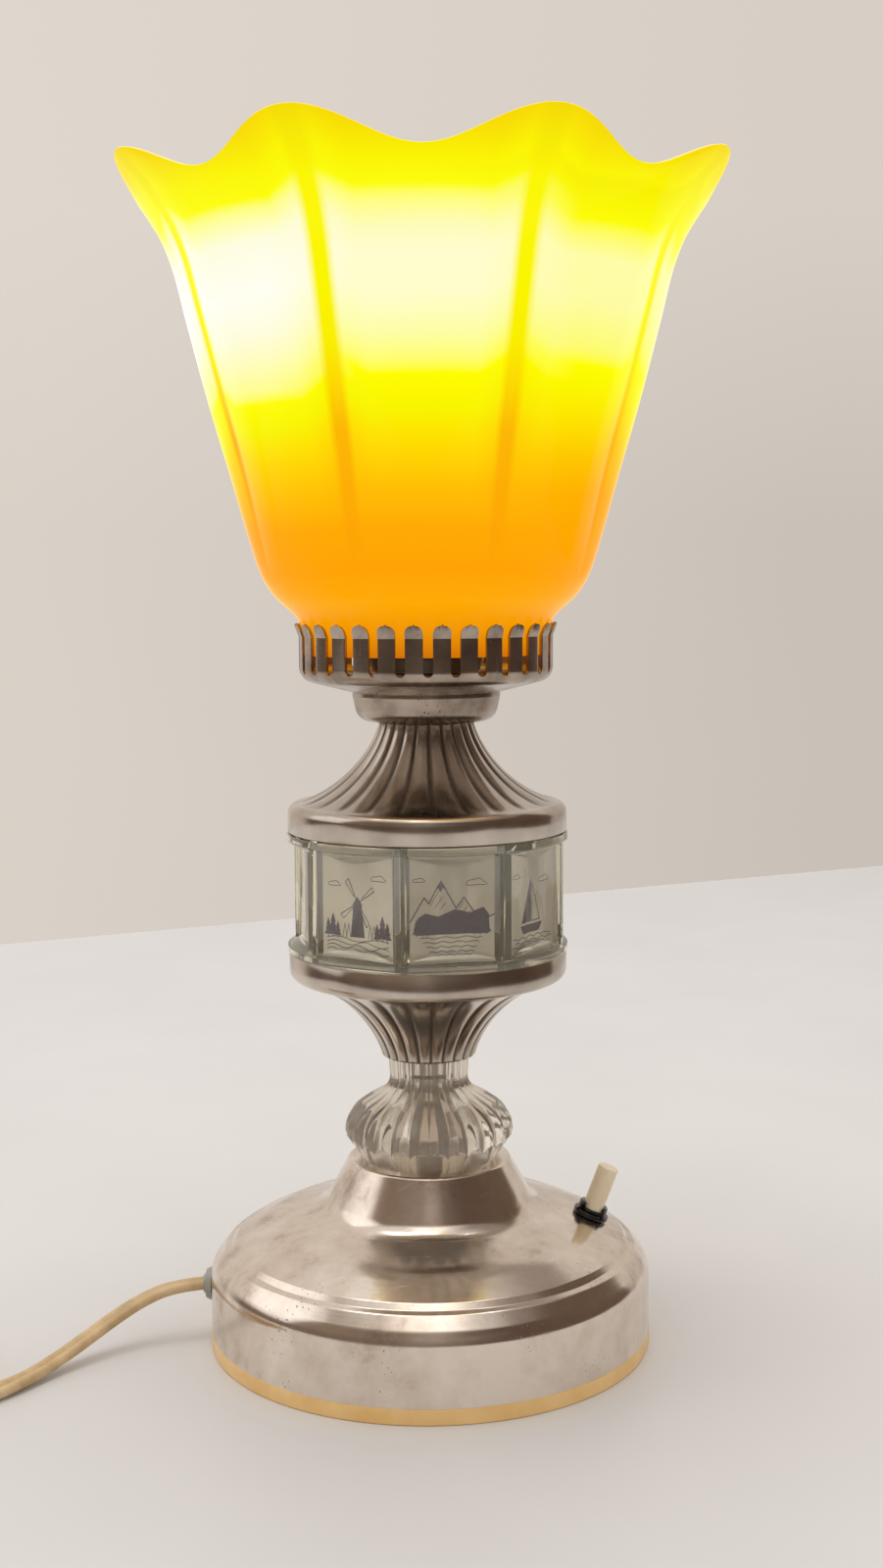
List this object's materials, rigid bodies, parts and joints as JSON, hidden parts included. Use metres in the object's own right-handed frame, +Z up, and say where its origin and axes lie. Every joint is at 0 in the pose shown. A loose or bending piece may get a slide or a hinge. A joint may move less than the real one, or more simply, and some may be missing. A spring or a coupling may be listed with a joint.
{
  "type": "rotating motion lamp",
  "caption": "Table lamp with a wavy glass shade in a fingered metal gallery, above a turning ring of picture windows between reeded cones, a cut knop and a round spun foot.",
  "frame": {"origin": "on the table, at the centre of the round foot", "axes": "+Z up along the lamp's centre line, -Y towards the viewer of the picture, +X towards the push switch"},
  "size_m": [0.379, 0.1894, 0.3853],
  "materials": {
    "spun_aluminium": "polished, softly worn",
    "cast_aluminium": "fettled and buffed, tarnished in the grooves",
    "gallery_aluminium": "satin",
    "cream_plastic": "moulded, slightly yellowed",
    "iron": "raw casting",
    "steel_plated": "zinc plated",
    "clear_acrylic": "clear, aged faintly yellow",
    "print_film": "silver-grey film with a violet line print",
    "bakelite": "black moulding",
    "porcelain": "glazed",
    "brass": "spring strip, dull",
    "bulb_clear": "frosted inside",
    "shade_glass": "amber opal, glossy outside",
    "ivory_plastic": "moulded",
    "cord_pvc": "matt beige sheath",
    "lead_pvc": "white sheath"
  },
  "bodies": {
    "stand": {"bottom_cover": "cream_plastic", "base_shell": "spun_aluminium", "ballast_weight": "iron", "cover_screws": "steel_plated", "ballast_nut": "steel_plated", "neck_washer": "steel_plated", "neck_nut": "steel_plated", "centre_tube": "steel_plated", "knop": "clear_acrylic", "lower_cone": "cast_aluminium", "spacer_sleeve": "steel_plated", "upper_cone": "cast_aluminium", "gallery_cup": "gallery_aluminium", "shade_gallery": "gallery_aluminium", "gallery_nut": "steel_plated", "lampholder_base": "bakelite", "lampholder_porcelain": "porcelain", "lampholder_contact": "brass", "lampholder_liner": "brass", "lampholder_shell": "bakelite", "switch_body": "bakelite", "switch_bush": "bakelite", "switch_nut": "bakelite", "switch_terminals": "brass", "supply_lead": "lead_pvc", "lamp_lead": "lead_pvc", "cord_gland": "bakelite", "mains_cord": "cord_pvc", "cord_coil": "cord_pvc", "cord_tie": "cream_plastic", "plug_body": "cream_plastic", "plug_pins": "brass"},
    "drum": {"window_ring": "clear_acrylic", "picture_strip": "print_film"},
    "button": {"switch_plunger": "ivory_plastic"},
    "shade": {"glass_shade": "shade_glass"},
    "bulb": {"bulb_cap": "brass", "bulb_glass": "bulb_clear", "bulb_stem": "bulb_clear"}
  },
  "joints": [
    {"name": "view_drum_turn", "type": "hinge", "parent": "stand", "child": "drum", "pos_m": [0, 0, 0.1532], "axis": [0, 0, 1], "continuous": true},
    {"name": "switch_press", "type": "slide", "parent": "stand", "child": "button", "axis": [-0.3526, 0, -0.9358], "range_m": [0, 0.004], "stiffness_N_per_m": 300, "springref_m": -0.003},
    {"name": "shade_lift", "type": "slide", "parent": "stand", "child": "shade", "axis": [0, 0, 1], "range_m": [0, 0.14]},
    {"name": "bulb_out", "type": "slide", "parent": "stand", "child": "bulb", "axis": [0, 0, 1], "range_m": [0, 0.03]}
  ]
}
